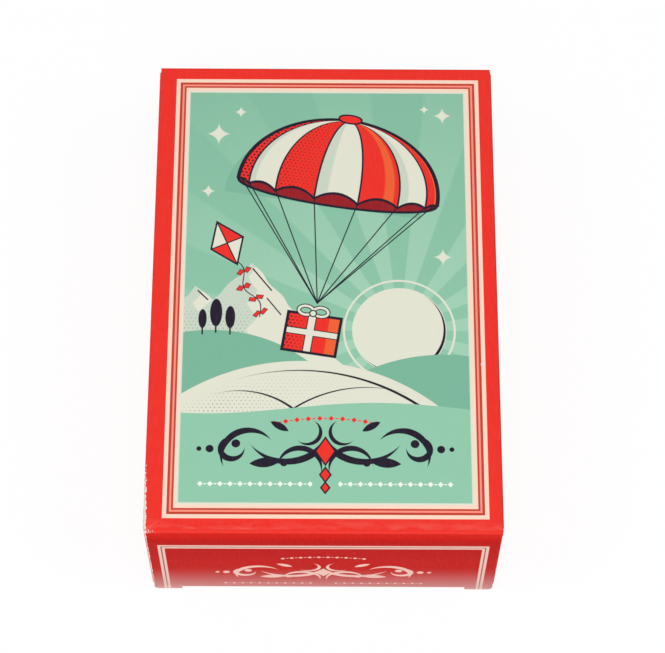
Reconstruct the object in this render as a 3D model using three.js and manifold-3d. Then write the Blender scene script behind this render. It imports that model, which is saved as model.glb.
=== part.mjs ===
import * as THREE from "three";
import { mergeVertices } from "three/addons/utils/BufferGeometryUtils.js";
import Module from "manifold-3d";

// Toy parachutist packed in its tuck-end carton. Lengths are millimetres and +Z is up.
// The carton lies on its back: +Z is the printed front, +Y the head end and -Y the foot end.
// The origin is the middle of the carton's back face.

// The toy. The carton is sized round its canopy, bands and figure.

const figure = {
  height: 92, // soles to the top of the helmet
  breadth: 33, // over the upper arms
  depth: 20, // back to the toes
};
const link = {
  rise: 24, // above the helmet
  barRadius: 1.7,
  cornerRadius: 3.1, // of the bar's centre line
  barWidth: 6.6, // straight part that the strap wraps
  frontShare: 0.306, // place of the bars in the figure's depth
  rootRadius: 2.2,
  rootDepth: 8, // below the top of the helmet
  rootInset: 1.6, // of the bar's foot, into the helmet
};
const strap = {
  width: 6,
  thickness: 0.8,
  turnReach: 3, // from the link's bar to the middle of the strap's turn
  tailLength: 6,
};
const canopy = {
  width: 84,
  length: 85.8,
  layers: 16,
  layerThickness: 0.8, // one fold of several plies
  layerGap: 0.3,
};
const band = {
  count: 4,
  width: 10,
  length: 22, // to the strap's turn
  spacing: 11,
  thickness: 0.7,
  gatheredWidth: 3.4,
  gatheredSpacing: 4.2,
  gatheredThickness: 1,
};

// The carton

const carton = {
  board: 0.5,
  creaseRadius: 0.9, // outside, along the tube
  creaseGap: 0.3, // between two panels that turn about a crease
  sideRoom: 4, // beside the canopy
  frontRoom: 5.3, // over the figure
  footRoom: 16, // from the foot end's outer face to the canopy
  soleRoom: 6.8, // from the foot end's outer face to the soles
  headRoom: 14.7, // from the strap's turn to the head end's outer face
};
const lid = {
  sideInset: 0.5, // each side, from the tube's outside
  earLength: 7.5, // flat corners beside the slits of the slit lock
  earClearance: 0.2, // above the surface that the carton lies on
  cornerRadius: 1.6,
};
const tuckFlap = {
  depth: 12,
  sideInset: 1.3,
  cornerRadius: 7,
  slitWidth: 1.9, // along Y, where the lid's ears are cut from the flap
  rise: 0.8, // above the inside of the back panel
};
const dustFlap = {
  depth: 30,
  gapToLid: 0.3,
  topTrim: 0.6, // below the inside of the front panel
  bottomClearance: 0.8, // above the tuck flap
  topTaperShare: 0.3, // fall of the upper edge for each unit of depth
  bottomTaperShare: 0.09,
  cornerRadius: 4,
};
const glueFlap = {
  width: 13,
  endInset: 5,
  taper: 4,
  cornerRadius: 0.5,
};
const restGap = 0.3; // between pieces that only lie on each other

// Sections of the figure, each [across, up, front, half width, half depth].
// Across and half width are shares of its breadth, up of its height, the others of its depth.

const torsoShares = [
  [0, 0.429, 0.4, 0.213, 0.271],
  [0, 0.473, 0.412, 0.293, 0.359],
  [0, 0.533, 0.4, 0.277, 0.323],
  [0, 0.609, 0.406, 0.32, 0.353],
  [0, 0.685, 0.406, 0.38, 0.394],
  [0, 0.746, 0.377, 0.363, 0.335],
  [0, 0.785, 0.377, 0.207, 0.264],
  [0, 0.815, 0.394, 0.123, 0.217],
  [0, 0.853, 0.412, 0.113, 0.206],
];
const beltShares = [
  [0, 0.507, 0.4, 0.277, 0.33],
  [0, 0.512, 0.4, 0.3, 0.365],
  [0, 0.54, 0.4, 0.293, 0.359],
  [0, 0.546, 0.4, 0.267, 0.318],
];
const legShares = [
  [0.157, 0.478, 0.4, 0.153, 0.312],
  [0.177, 0.38, 0.412, 0.157, 0.3],
  [0.19, 0.283, 0.436, 0.133, 0.253],
  [0.197, 0.245, 0.436, 0.137, 0.264],
  [0.203, 0.174, 0.412, 0.137, 0.271],
  [0.207, 0.125, 0.4, 0.113, 0.229],
  [0.207, 0.102, 0.394, 0.11, 0.224],
  [0.21, 0.033, 0.4, 0.117, 0.241],
];
const thighStrapShares = [
  [0.173, 0.39, 0.412, 0.15, 0.288],
  [0.173, 0.396, 0.412, 0.173, 0.33],
  [0.17, 0.42, 0.412, 0.177, 0.335],
  [0.17, 0.425, 0.412, 0.15, 0.288],
];
const bootCuffShares = [
  [0.207, 0.096, 0.4, 0.113, 0.229],
  [0.207, 0.102, 0.4, 0.13, 0.259],
  [0.207, 0.115, 0.4, 0.13, 0.259],
  [0.207, 0.122, 0.4, 0.113, 0.229],
];
const footShares = [
  [0.21, 0.036, 0.123, 0.083, 0.141],
  [0.21, 0.038, 0.224, 0.12, 0.188],
  [0.213, 0.038, 0.453, 0.113, 0.182],
  [0.22, 0.033, 0.688, 0.123, 0.158],
  [0.223, 0.028, 0.87, 0.103, 0.13],
  [0.227, 0.024, 0.971, 0.05, 0.076],
];
const armShares = [
  [0.22, 0.765, 0.377, 0.06, 0.128],
  [0.34, 0.752, 0.377, 0.112, 0.219],
  [0.452, 0.694, 0.365, 0.122, 0.231],
  [0.507, 0.614, 0.359, 0.11, 0.212],
  [0.517, 0.568, 0.4, 0.11, 0.2],
  [0.46, 0.554, 0.552, 0.103, 0.188],
  [0.373, 0.585, 0.717, 0.097, 0.177],
  [0.293, 0.62, 0.818, 0.087, 0.153],
  [0.253, 0.639, 0.841, 0.09, 0.153],
  [0.24, 0.648, 0.847, 0.063, 0.111],
];
const harnessShares = [
  [0.167, 0.524, 0.682, 0.047, 0.041],
  [0.173, 0.609, 0.724, 0.047, 0.041],
  [0.177, 0.679, 0.764, 0.047, 0.041],
  [0.18, 0.739, 0.7, 0.047, 0.041],
  [0.183, 0.779, 0.552, 0.047, 0.041],
  [0.183, 0.789, 0.377, 0.047, 0.041],
  [0.18, 0.77, 0.165, 0.047, 0.041],
  [0.173, 0.717, 0.047, 0.047, 0.041],
  [0.167, 0.63, 0.059, 0.047, 0.041],
  [0.16, 0.533, 0.094, 0.047, 0.041],
];
const chestStrapShares = [
  [-0.18, 0.707, 0.729, 0.037, 0.035],
  [0, 0.707, 0.806, 0.037, 0.035],
  [0.18, 0.707, 0.729, 0.037, 0.035],
];
const chinStrapShares = [
  [-0.18, 0.872, 0.459, 0.027, 0.029],
  [-0.14, 0.836, 0.576, 0.027, 0.029],
  [-0.053, 0.822, 0.677, 0.027, 0.029],
  [0.053, 0.822, 0.677, 0.027, 0.029],
  [0.14, 0.836, 0.576, 0.027, 0.029],
  [0.18, 0.872, 0.459, 0.027, 0.029],
];

// Rounded masses, each [across, up, front, half width, half height, half depth] in like shares.

const headShares = {
  skull: [0, 0.889, 0.465, 0.163, 0.065, 0.318],
  jaw: [0, 0.857, 0.529, 0.117, 0.034, 0.224],
  nose: [0, 0.88, 0.794, 0.027, 0.014, 0.059],
  mouth: [0, 0.847, 0.741, 0.053, 0.003, 0.052],
  helmet: [0, 0.92, 0.429, 0.21, 0.08, 0.406],
};
const lensShares = [0.075, 0.907, 0.747, 0.077, 0.021, 0.082];
const handShares = {
  fist: [0.21, 0.665, 0.853, 0.073, 0.032, 0.123],
  thumb: [0.153, 0.689, 0.87, 0.03, 0.02, 0.052],
};
const fingerShares = [0.163, 0.649, 0.924, 0.063, 0.008, 0.064];
const fingers = 4;
const fingerPitchShare = 0.0141; // of the height

// The helmet's opening for the face, as [up, front] shares of height and depth.
const faceOpeningShares = [
  [0.76, -0.111],
  [0.855, -0.111],
  [0.863, 0.477],
  [0.922, 0.595],
  [0.937, 1.131],
  [0.76, 1.131],
];
// The band of the goggles: up, its half height, front, half width and half depth, in like shares.
const goggleBandShares = { up: 0.917, halfUp: 0.01, front: 0.424, halfWidth: 0.217, halfDepth: 0.424 };
// A boot's sole, as [across from the foot's middle, front] shares of breadth and depth.
const soleShares = [
  [-0.105, 0.071],
  [0.105, 0.071],
  [0.118, 0.381],
  [0.14, 0.809],
  [0.09, 1],
  [-0.07, 1],
  [-0.12, 0.809],
  [-0.112, 0.381],
];
const sole = { thickness: 1.2, cornerRadius: 1.4, heelThickness: 2, heelShare: 0.42 };
const buckle = { width: 4.6, height: 3.4, thickness: 0.9, cornerRadius: 0.8 };

// Colours

const RED_PRINT = 0xe8352c;
const PALE_BOARD = 0xe9e4da;
const RED_PLASTIC = 0xd8322a;
const NAVY_CLOTH = 0x2b2745;
const NAVY_WEBBING = 0x24203a;

const printed = new THREE.MeshStandardMaterial({ color: RED_PRINT, roughness: 0.45 });
const unprinted = new THREE.MeshStandardMaterial({ color: PALE_BOARD, roughness: 0.85 });
const plastic = new THREE.MeshStandardMaterial({ color: RED_PLASTIC, roughness: 0.35 });
const cloth = new THREE.MeshStandardMaterial({ color: NAVY_CLOTH, roughness: 0.6 });
const webbing = new THREE.MeshStandardMaterial({ color: NAVY_WEBBING, roughness: 0.8 });

// Sizes that follow from those above

const canopyPitch = canopy.layerThickness + canopy.layerGap;
const canopyThickness = canopy.layers * canopyPitch - canopy.layerGap;
const canopyBack = carton.board + restGap;
const canopyMiddle = canopyBack + canopyThickness / 2;
const figureBack = canopyBack + canopyThickness + restGap;

const width = canopy.width + 2 * (carton.sideRoom + carton.board);
const height = figureBack + figure.depth + carton.frontRoom + carton.board;
const clothLength = canopy.length + restGap + band.length; // below the strap's turn
const toyLength = figure.height + link.rise - link.barRadius + strap.turnReach; // likewise
const length =
  Math.max(carton.footRoom + clothLength, carton.soleRoom + toyLength) + carton.headRoom;

const turnY = length / 2 - carton.headRoom;
const bandFootY = turnY - band.length;
const canopyHeadY = bandFootY - restGap;
const canopyFootY = canopyHeadY - canopy.length;
const linkBarY = turnY - strap.turnReach;
const linkBarZ = figureBack + link.frontShare * figure.depth;
const soleY = turnY - toyLength;

const lidCreaseInset = carton.board + carton.creaseGap; // of the tube's wall from the end
const dustCrease = 2 * carton.board + dustFlap.gapToLid; // from the end's outer face
const dustCreaseInset = dustCrease + carton.creaseGap;
const tuckBack = carton.board + tuckFlap.rise;
const tuckFront = tuckBack + carton.board;

const wasm = await Module();
wasm.setup();

// Outlines and solids

// An outline through corners [x, y, reach], each rounded over its reach along both sides.
function roundedOutline(corners) {
  const shape = new THREE.Shape();
  const count = corners.length;
  corners.forEach(([x, y, reach], i) => {
    const corner = new THREE.Vector2(x, y);
    const [start, end] = [i + count - 1, i + 1].map((k) => {
      const [nextX, nextY] = corners[k % count];
      return new THREE.Vector2(nextX, nextY).sub(corner).setLength(reach).add(corner);
    });
    if (i === 0) shape.moveTo(start.x, start.y);
    else shape.lineTo(start.x, start.y);
    if (reach > 0) shape.quadraticCurveTo(x, y, end.x, end.y);
  });
  shape.closePath();
  return shape;
}

// Extrudes an outline along Z, from zero.
function prism(shape, depth, curveSegments = 6) {
  return new THREE.ExtrudeGeometry(shape, { depth, bevelEnabled: false, curveSegments });
}

// An XZ outline made solid along Y.
function alongY(shape, fromY, toY, curveSegments) {
  return prism(shape, toY - fromY, curveSegments)
    .rotateX(Math.PI / 2)
    .translate(0, toY, 0);
}

// A YZ outline made solid along X.
function alongX(shape, fromX, toX, curveSegments) {
  return prism(shape, toX - fromX, curveSegments)
    .rotateX(Math.PI / 2)
    .rotateZ(Math.PI / 2)
    .translate(fromX, 0, 0);
}

function named(name, geometry, material) {
  const mesh = new THREE.Mesh(geometry, material);
  mesh.name = name;
  return mesh;
}

// The outline of a ribbon of even thickness round an open centre line.
function ribbonOutline(centreLine, thickness) {
  const offset = (side) =>
    centreLine.map((point, i) => {
      const before = centreLine[Math.max(i - 1, 0)];
      const after = centreLine[Math.min(i + 1, centreLine.length - 1)];
      const along = after.clone().sub(before).setLength((side * thickness) / 2);
      return new THREE.Vector2(point.x - along.y, point.y + along.x);
    });
  return new THREE.Shape([...offset(-1), ...offset(1).reverse()]);
}

// Points of an arc about (x, y), from one angle to another.
function arcPoints(x, y, radius, from, to, steps) {
  return Array.from({ length: steps + 1 }, (_, i) => {
    const angle = from + ((to - from) * i) / steps;
    return new THREE.Vector2(x + radius * Math.cos(angle), y + radius * Math.sin(angle));
  });
}

// Rows of numbers with more rows between them, on a smooth curve through them all.
function smoothRows(rows, steps) {
  const last = rows.length - 1;
  const row = (i) => rows[Math.min(Math.max(i, 0), last)];
  const between = (i, t) =>
    row(i).map((value, k) => {
      const [p, q, r] = [row(i - 1)[k], row(i + 1)[k], row(i + 2)[k]];
      const slope = (q - p) * t;
      const bend = (2 * p - 5 * value + 4 * q - r) * t * t;
      const twist = (3 * value - p - 3 * q + r) * t * t * t;
      return value + (slope + bend + twist) / 2;
    });
  const made = rows.slice(0, last).flatMap((_, i) =>
    Array.from({ length: steps }, (_, step) => between(i, step / steps)),
  );
  return [...made, rows[last]];
}

// One closed body through rings that have the same number of points.
function bodyThroughRings(rings) {
  const around = rings[0].length;
  const points = rings.flat();
  const faces = [];
  const next = (k) => (k + 1) % around;
  for (let r = 0; r < rings.length - 1; r++)
    for (let k = 0; k < around; k++) {
      const [a, b] = [r * around + k, r * around + next(k)];
      faces.push(a, b, b + around, a, b + around, a + around);
    }
  for (const r of [0, rings.length - 1]) {
    const centre = new THREE.Vector3();
    rings[r].forEach((point) => centre.addScaledVector(point, 1 / around));
    const hub = points.push(centre) - 1;
    for (let k = 0; k < around; k++) {
      const [a, b] = [r * around + k, r * around + next(k)];
      faces.push(...(r ? [a, b, hub] : [b, a, hub]));
    }
  }
  const geometry = new THREE.BufferGeometry().setFromPoints(points);
  geometry.setIndex(faces);
  return geometry;
}

// A body through sections [x, y, z, half width, half depth], square to its own path.
// across is the way of the width, and a power above 2 makes the sections squarer.
const X_AXIS = new THREE.Vector3(1, 0, 0);
const Y_AXIS = new THREE.Vector3(0, 1, 0);
const Z_AXIS = new THREE.Vector3(0, 0, 1);

function loft(rows, { across = X_AXIS, along, steps = 2, around = 16, power = 2 } = {}) {
  const smooth = smoothRows(rows, steps);
  const rings = smooth.map(([x, y, z, halfWidth, halfDepth], i) => {
    const [x0, y0, z0] = smooth[Math.max(i - 1, 0)];
    const [x1, y1, z1] = smooth[Math.min(i + 1, smooth.length - 1)];
    const path = (along ?? new THREE.Vector3(x1 - x0, y1 - y0, z1 - z0)).clone().normalize();
    const depthWay = new THREE.Vector3().crossVectors(across, path).normalize();
    const widthWay = new THREE.Vector3().crossVectors(path, depthWay);
    return arcPoints(0, 0, 1, 0, 2 * Math.PI, around)
      .slice(1)
      .map(({ x: c, y: s }) => {
        const [u, v] = [c, s].map((value) => Math.sign(value) * Math.abs(value) ** (2 / power));
        return new THREE.Vector3(x, y, z)
          .addScaledVector(widthWay, halfWidth * u)
          .addScaledVector(depthWay, -halfDepth * v);
      });
  });
  return bodyThroughRings(rings);
}

// A geometry as a manifold solid, turned right side out if its faces point inwards.
function solid(geometry) {
  const bare = geometry.clone();
  bare.deleteAttribute("normal");
  bare.deleteAttribute("uv");
  const merged = mergeVertices(bare);
  const vertProperties = new Float32Array(merged.attributes.position.array);
  const triVerts = new Uint32Array(merged.index.array);
  const made = new wasm.Manifold(new wasm.Mesh({ numProp: 3, vertProperties, triVerts }));
  if (made.volume() > 0) return made;
  return new wasm.Manifold(
    new wasm.Mesh({ numProp: 3, vertProperties, triVerts: triVerts.reverse() }),
  );
}

function fused(geometries) {
  return geometries.map(solid).reduce((whole, piece) => whole.add(piece));
}

function geometryOf(manifold) {
  const mesh = manifold.getMesh();
  const geometry = new THREE.BufferGeometry();
  geometry.setAttribute("position", new THREE.BufferAttribute(mesh.vertProperties, 3));
  geometry.setIndex(new THREE.BufferAttribute(mesh.triVerts, 1));
  geometry.computeVertexNormals();
  return geometry;
}

// The carton's tube

// Cross-section of one wall whose outer face is at reach, mitred in the middle of each crease.
function wallOutline(span, reach) {
  const [straight, mitre] = [Math.PI / 2, Math.PI / 4];
  const [flat, centre] = [span / 2 - carton.creaseRadius, reach - carton.creaseRadius];
  const inner = carton.creaseRadius - carton.board;
  const steps = 4;
  return new THREE.Shape([
    ...arcPoints(flat, centre, inner, straight, mitre, steps),
    ...arcPoints(flat, centre, carton.creaseRadius, mitre, straight, steps),
    ...arcPoints(-flat, centre, carton.creaseRadius, straight, straight + mitre, steps),
    ...arcPoints(-flat, centre, inner, straight + mitre, straight, steps),
  ]);
}

// One wall of the tube, turned about Y to face its own way.
function tubeWall(name, span, reach, endInset, turn) {
  const half = length / 2 - endInset;
  const wall = named(name, alongY(wallOutline(span, reach), -half, half), printed);
  wall.rotation.y = turn;
  return wall;
}

function tube() {
  const group = new THREE.Group();
  group.position.z = height / 2;
  group.add(
    tubeWall("front_panel", width, height / 2, lidCreaseInset, 0),
    tubeWall("right_side_panel", height, width / 2, dustCreaseInset, Math.PI / 2),
    tubeWall("back_panel", width, height / 2, lidCreaseInset, Math.PI),
    tubeWall("left_side_panel", height, width / 2, dustCreaseInset, -Math.PI / 2),
  );
  return group;
}

// The flap that closes the tube, glued flat inside the left side.
function sideSeam() {
  const half = length / 2 - glueFlap.endInset;
  const low = carton.creaseRadius + carton.creaseGap;
  const outline = roundedOutline([
    [-half, low, 0],
    [half, low, 0],
    [half - glueFlap.taper, low + glueFlap.width, glueFlap.cornerRadius],
    [-half + glueFlap.taper, low + glueFlap.width, glueFlap.cornerRadius],
  ]);
  const inside = carton.board - width / 2;
  return named("glue_flap", alongX(outline, inside, inside + carton.board), unprinted);
}

// The two tuck ends, each drawn with its outer face on Y = 0 and the carton towards +Y

function lidPanel(name) {
  const half = width / 2 - lid.sideInset;
  const slitEnd = half - lid.earLength;
  const top = height - carton.board - carton.creaseGap;
  const middle = tuckFront + carton.creaseGap;
  const outline = roundedOutline([
    [-half, top, 0],
    [-half, lid.earClearance, lid.cornerRadius],
    [-slitEnd, lid.earClearance, 0],
    [-slitEnd, middle, 0],
    [slitEnd, middle, 0],
    [slitEnd, lid.earClearance, 0],
    [half, lid.earClearance, lid.cornerRadius],
    [half, top, 0],
  ]);
  return named(name, alongY(outline, 0, carton.board), printed);
}

function tuckInFlap(name) {
  const half = width / 2 - tuckFlap.sideInset;
  const slitEnd = width / 2 - lid.sideInset - lid.earLength;
  const root = carton.board + carton.creaseGap;
  const shoulder = carton.board + tuckFlap.slitWidth;
  const tip = carton.board + tuckFlap.depth;
  const outline = roundedOutline([
    [-slitEnd, root, 0],
    [slitEnd, root, 0],
    [slitEnd, shoulder, 0],
    [half, shoulder, 0],
    [half, tip, tuckFlap.cornerRadius],
    [-half, tip, tuckFlap.cornerRadius],
    [-half, shoulder, 0],
    [-slitEnd, shoulder, 0],
  ]);
  const flap = named(name, prism(outline, carton.board), printed);
  flap.position.z = tuckBack;
  return flap;
}

// side is -1 for the flap on the -X side of its own end and 1 for the other.
function dustCoverFlap(name, side) {
  const bottom = tuckFront + dustFlap.bottomClearance;
  const top = height - carton.board - dustFlap.topTrim;
  const crease = width / 2 - carton.board;
  const root = side * (crease - carton.creaseGap);
  const tip = side * (crease - dustFlap.depth);
  const outline = roundedOutline([
    [root, bottom, 0],
    [root, top, 0],
    [tip, top - dustFlap.topTaperShare * dustFlap.depth, dustFlap.cornerRadius],
    [tip, bottom + dustFlap.bottomTaperShare * dustFlap.depth, dustFlap.cornerRadius],
  ]);
  return named(name, alongY(outline, dustCrease - carton.board, dustCrease), printed);
}

// The head end is the foot end turned half round, so its two sides change places.
function tuckEnd(end, side) {
  const group = new THREE.Group();
  group.add(
    lidPanel(`${end}_lid`),
    tuckInFlap(`${end}_tuck_flap`),
    dustCoverFlap(`${end}_dust_flap_left`, side),
    dustCoverFlap(`${end}_dust_flap_right`, -side),
  );
  group.position.y = (side * length) / 2;
  group.rotation.z = side > 0 ? Math.PI : 0;
  return group;
}

// The cloth: folded canopy, bands and strap

// The canopy goes to and fro in one length, round a half turn at each side.
function foldedCanopy() {
  const turn = canopyPitch / 2;
  const reach = (canopy.width - canopy.layerThickness) / 2 - turn;
  const turnSteps = 6;
  const line = [];
  for (let layer = 0; layer < canopy.layers; layer++) {
    const side = layer % 2 ? -1 : 1;
    const z = canopyBack + canopy.layerThickness / 2 + layer * canopyPitch;
    line.push(new THREE.Vector2(-side * reach, z));
    if (layer + 1 === canopy.layers) line.push(new THREE.Vector2(side * reach, z));
    else {
      const bend = arcPoints(0, z + turn, turn, -Math.PI / 2, Math.PI / 2, turnSteps);
      line.push(...bend.slice(0, -1).map(({ x, y }) => new THREE.Vector2(side * (reach + x), y)));
    }
  }
  const outline = ribbonOutline(line, canopy.layerThickness);
  return named("canopy", alongY(outline, canopyFootY, canopyHeadY), cloth);
}

// Ways through which the strap passes: once round the link's bar, then both plies to its tail.
const strapRadius = link.barRadius + restGap + strap.thickness / 2;
const plyOffset = (restGap + strap.thickness) / 2;
const turnRadius = (linkBarZ - canopyMiddle) / 2;
const tailY = turnY - strap.tailLength;

function linkStrap() {
  const right = Math.PI / 2;
  const turnZ = canopyMiddle + turnRadius;
  const inner = arcPoints(turnY, turnZ, turnRadius - plyOffset, -right, right, 12);
  const outer = arcPoints(turnY, turnZ, turnRadius + plyOffset, right, -right, 12);
  const lean = Math.atan2(strapRadius - plyOffset, strap.turnReach);
  const open = right - lean;
  const round = arcPoints(linkBarY, linkBarZ, strapRadius, open - 2 * Math.PI, -open, 16);
  const line = [
    new THREE.Vector2(tailY, canopyMiddle + plyOffset),
    ...inner,
    ...round.reverse(),
    ...outer,
    new THREE.Vector2(tailY, canopyMiddle - plyOffset),
  ];
  const outline = ribbonOutline(line, strap.thickness);
  return named("riser_strap", alongX(outline, -strap.width / 2, strap.width / 2), webbing);
}

// Bands leave the canopy's edge side by side. The middle two end over the strap's tail, and the
// outer two under it. Rows are shares of the way forth, of the way aside and of the rise.
const bandShares = [
  [0, 0, 0],
  [0.08, 0, 0.04],
  [0.25, 0.12, 0.5],
  [0.6, 0.7, 1],
  [0.8, 1, 1],
  [1, 1, 1],
];

function gatheredBand(number) {
  const place = number - (band.count + 1) / 2;
  const startX = place * band.spacing;
  const endX = (Math.sign(place) * band.gatheredSpacing) / 2;
  const over = Math.abs(place) < 1 ? 1 : -1;
  const rise = over * (plyOffset + strap.thickness / 2 + restGap + band.gatheredThickness / 2);
  const rows = bandShares.map(([forth, aside, up]) => [
    THREE.MathUtils.lerp(startX, endX, aside),
    THREE.MathUtils.lerp(bandFootY, turnY, forth),
    canopyMiddle + rise * up,
    THREE.MathUtils.lerp(band.width, band.gatheredWidth, aside) / 2,
    THREE.MathUtils.lerp(band.thickness, band.gatheredThickness, aside) / 2,
  ]);
  return named(`band_${number}`, loft(rows, { along: Y_AXIS, around: 8, power: 4 }), cloth);
}

// The figure, drawn from its soles along +Y with its back on Z = 0

function sections(rows, side = 1) {
  return rows.map(([across, up, front, halfWidth, halfDepth]) => [
    side * across * figure.breadth,
    up * figure.height,
    front * figure.depth,
    halfWidth * figure.breadth,
    halfDepth * figure.depth,
  ]);
}

function mass([across, up, front, halfWidth, halfHeight, halfDepth], side = 1, detail = 16) {
  return new THREE.SphereGeometry(1, detail, detail / 2)
    .scale(halfWidth * figure.breadth, halfHeight * figure.height, halfDepth * figure.depth)
    .translate(side * across * figure.breadth, up * figure.height, front * figure.depth);
}

function goggleBand() {
  const { up, halfUp, front, halfWidth, halfDepth } = goggleBandShares;
  const edge = (share) => [0, share, front, halfWidth, halfDepth];
  return loft(sections([edge(up - halfUp), edge(up + halfUp)]), { steps: 1, around: 20 });
}

function head() {
  const outline = new THREE.Shape(
    faceOpeningShares.map(([up, front]) => new THREE.Vector2(up * figure.height, front * figure.depth)),
  );
  const half = figure.breadth / 2;
  const helmet = solid(mass(headShares.helmet, 1, 20)).subtract(solid(alongX(outline, -half, half)));
  const face = fused([mass(headShares.skull), mass(headShares.jaw, 1, 12), mass(headShares.nose, 1, 8)]);
  return face
    .subtract(solid(mass(headShares.mouth, 1, 8)))
    .add(helmet)
    .add(solid(goggleBand()))
    .add(solid(mass(lensShares, -1, 12)))
    .add(solid(mass(lensShares, 1, 12)))
    .add(solid(loft(sections(chinStrapShares), { around: 6 })));
}

function boot(side) {
  const middle = side * footShares[0][0] * figure.breadth;
  const point = ([across, front]) => [
    middle + side * across * figure.breadth,
    front * figure.depth,
    sole.cornerRadius,
  ];
  const tread = (shares, thickness) => alongY(roundedOutline(shares.map(point)), 0, thickness, 3);
  const heelShares = soleShares.filter(([, front]) => front <= sole.heelShare);
  return [
    loft(sections(footShares, side), { around: 10 }),
    loft(sections(bootCuffShares, side), { steps: 1, around: 12 }),
    tread(soleShares, sole.thickness),
    tread(heelShares, sole.heelThickness),
  ];
}

function arm(side) {
  const knuckles = Array.from({ length: fingers }, (_, i) => {
    const [across, up, ...rest] = fingerShares;
    return mass([across, up + i * fingerPitchShare, ...rest], side, 6);
  });
  return [
    loft(sections(armShares, side), { around: 12 }),
    mass(handShares.fist, side, 10),
    mass(handShares.thumb, side, 6),
    ...knuckles,
  ];
}

function beltBuckle() {
  const [up, front] = [(beltShares[1][1] + beltShares[2][1]) / 2, beltShares[1][2] + beltShares[1][4]];
  const frame = (w, h) =>
    roundedOutline([
      [-w / 2, -h / 2, buckle.cornerRadius],
      [w / 2, -h / 2, buckle.cornerRadius],
      [w / 2, h / 2, buckle.cornerRadius],
      [-w / 2, h / 2, buckle.cornerRadius],
    ]);
  return prism(frame(buckle.width, buckle.height), 2 * buckle.thickness, 3).translate(
    0,
    up * figure.height,
    front * figure.depth - buckle.thickness,
  );
}

// The link is one bar bent to a flat-topped loop, and its feet flare into the helmet.
function linkLoop() {
  const top = figure.height + link.rise - link.barRadius;
  const root = figure.height - link.rootDepth;
  const z = link.frontShare * figure.depth;
  const [cornerX, cornerY] = [link.barWidth / 2, top - link.cornerRadius];
  const legX = cornerX + link.cornerRadius;
  const right = Math.PI / 2;
  const bar = ({ x, y }) => [x, y, z, link.barRadius, link.barRadius];
  const flare = (side) => [side * (legX - link.rootInset), root, z, link.rootRadius, link.rootRadius];
  const rows = [
    flare(1),
    bar({ x: legX, y: root + link.rootDepth }),
    ...arcPoints(cornerX, cornerY, link.cornerRadius, 0, right, 4).map(bar),
    ...arcPoints(-cornerX, cornerY, link.cornerRadius, right, Math.PI, 4).map(bar),
    bar({ x: -legX, y: root + link.rootDepth }),
    flare(-1),
  ];
  return loft(rows, { across: Z_AXIS, around: 12, steps: 1 });
}

function parachutist() {
  const pieces = [
    loft(sections(torsoShares)),
    loft(sections(beltShares), { steps: 1 }),
    loft(sections(chestStrapShares), { across: Y_AXIS, around: 8, power: 3 }),
    beltBuckle(),
    linkLoop(),
  ];
  for (const side of [-1, 1])
    pieces.push(
      loft(sections(legShares, side), { around: 12 }),
      loft(sections(thighStrapShares, side), { steps: 1, around: 12 }),
      loft(sections(harnessShares, side), { around: 8, power: 4 }),
      ...boot(side),
      ...arm(side),
    );
  const toy = named("parachutist_figure", geometryOf(fused(pieces).add(head())), plastic);
  toy.position.set(0, soleY, figureBack);
  return toy;
}

// The whole

const boxedToy = new THREE.Group();
boxedToy.add(tube(), sideSeam(), tuckEnd("foot", -1), tuckEnd("head", 1));
boxedToy.add(foldedCanopy(), linkStrap(), parachutist());
for (let number = 1; number <= band.count; number++) boxedToy.add(gatheredBand(number));

export default boxedToy;
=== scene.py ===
"""A toy parachutist in its tuck-end carton: print, board, cloth and moulded plastic.

Properties are in metres. Patterns and piece builders work in millimetres.
"""

import math
from functools import reduce

import bmesh
import bpy
from bpy.props import FloatProperty, FloatVectorProperty, IntProperty, PointerProperty
from mathutils import Matrix, Vector, noise


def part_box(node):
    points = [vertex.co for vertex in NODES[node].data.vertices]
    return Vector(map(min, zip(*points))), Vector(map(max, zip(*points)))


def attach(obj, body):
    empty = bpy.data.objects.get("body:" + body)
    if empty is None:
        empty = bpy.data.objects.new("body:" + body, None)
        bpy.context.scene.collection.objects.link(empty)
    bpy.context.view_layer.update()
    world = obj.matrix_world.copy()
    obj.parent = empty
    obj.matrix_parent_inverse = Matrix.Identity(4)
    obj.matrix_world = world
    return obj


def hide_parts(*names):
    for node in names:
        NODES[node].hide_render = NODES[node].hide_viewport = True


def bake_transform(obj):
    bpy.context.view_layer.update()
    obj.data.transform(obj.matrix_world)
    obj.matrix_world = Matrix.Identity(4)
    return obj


bl_info = {
    "name": "Boxed toy parachutist",
    "version": (1, 0, 0),
    "blender": (4, 5, 0),
    "location": "View3D > Sidebar > Toy carton",
    "description": "Dresses the carton, the toy and its cloth",
    "category": "Add Mesh",
}

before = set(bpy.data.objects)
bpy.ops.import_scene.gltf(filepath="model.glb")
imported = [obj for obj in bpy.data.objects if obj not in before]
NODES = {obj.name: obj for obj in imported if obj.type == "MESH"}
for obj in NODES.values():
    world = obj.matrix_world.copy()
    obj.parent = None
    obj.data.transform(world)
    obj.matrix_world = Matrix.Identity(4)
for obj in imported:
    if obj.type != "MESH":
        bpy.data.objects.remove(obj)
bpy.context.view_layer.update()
MM = 0.001


def box_mm(node):
    """Lowest and highest corner of a packed node in millimetres."""
    lowest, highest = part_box(node)
    return lowest / MM, highest / MM


WIDE = box_mm("right_side_panel")[1].x  # half of the carton's width
LONG = box_mm("head_lid")[1].y  # half of its length
TALL = box_mm("front_panel")[1].z
TUBE_END = box_mm("front_panel")[1].y
UP = Vector((0, 0, 1))


def shade(red, green, blue):
    """A colour given in display values from 0 to 255, as the linear values of sockets."""
    values = [v / 255 for v in (red, green, blue)]
    return tuple(v / 12.92 if v <= 0.04045 else ((v + 0.055) / 1.055) ** 2.4 for v in values)


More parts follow.
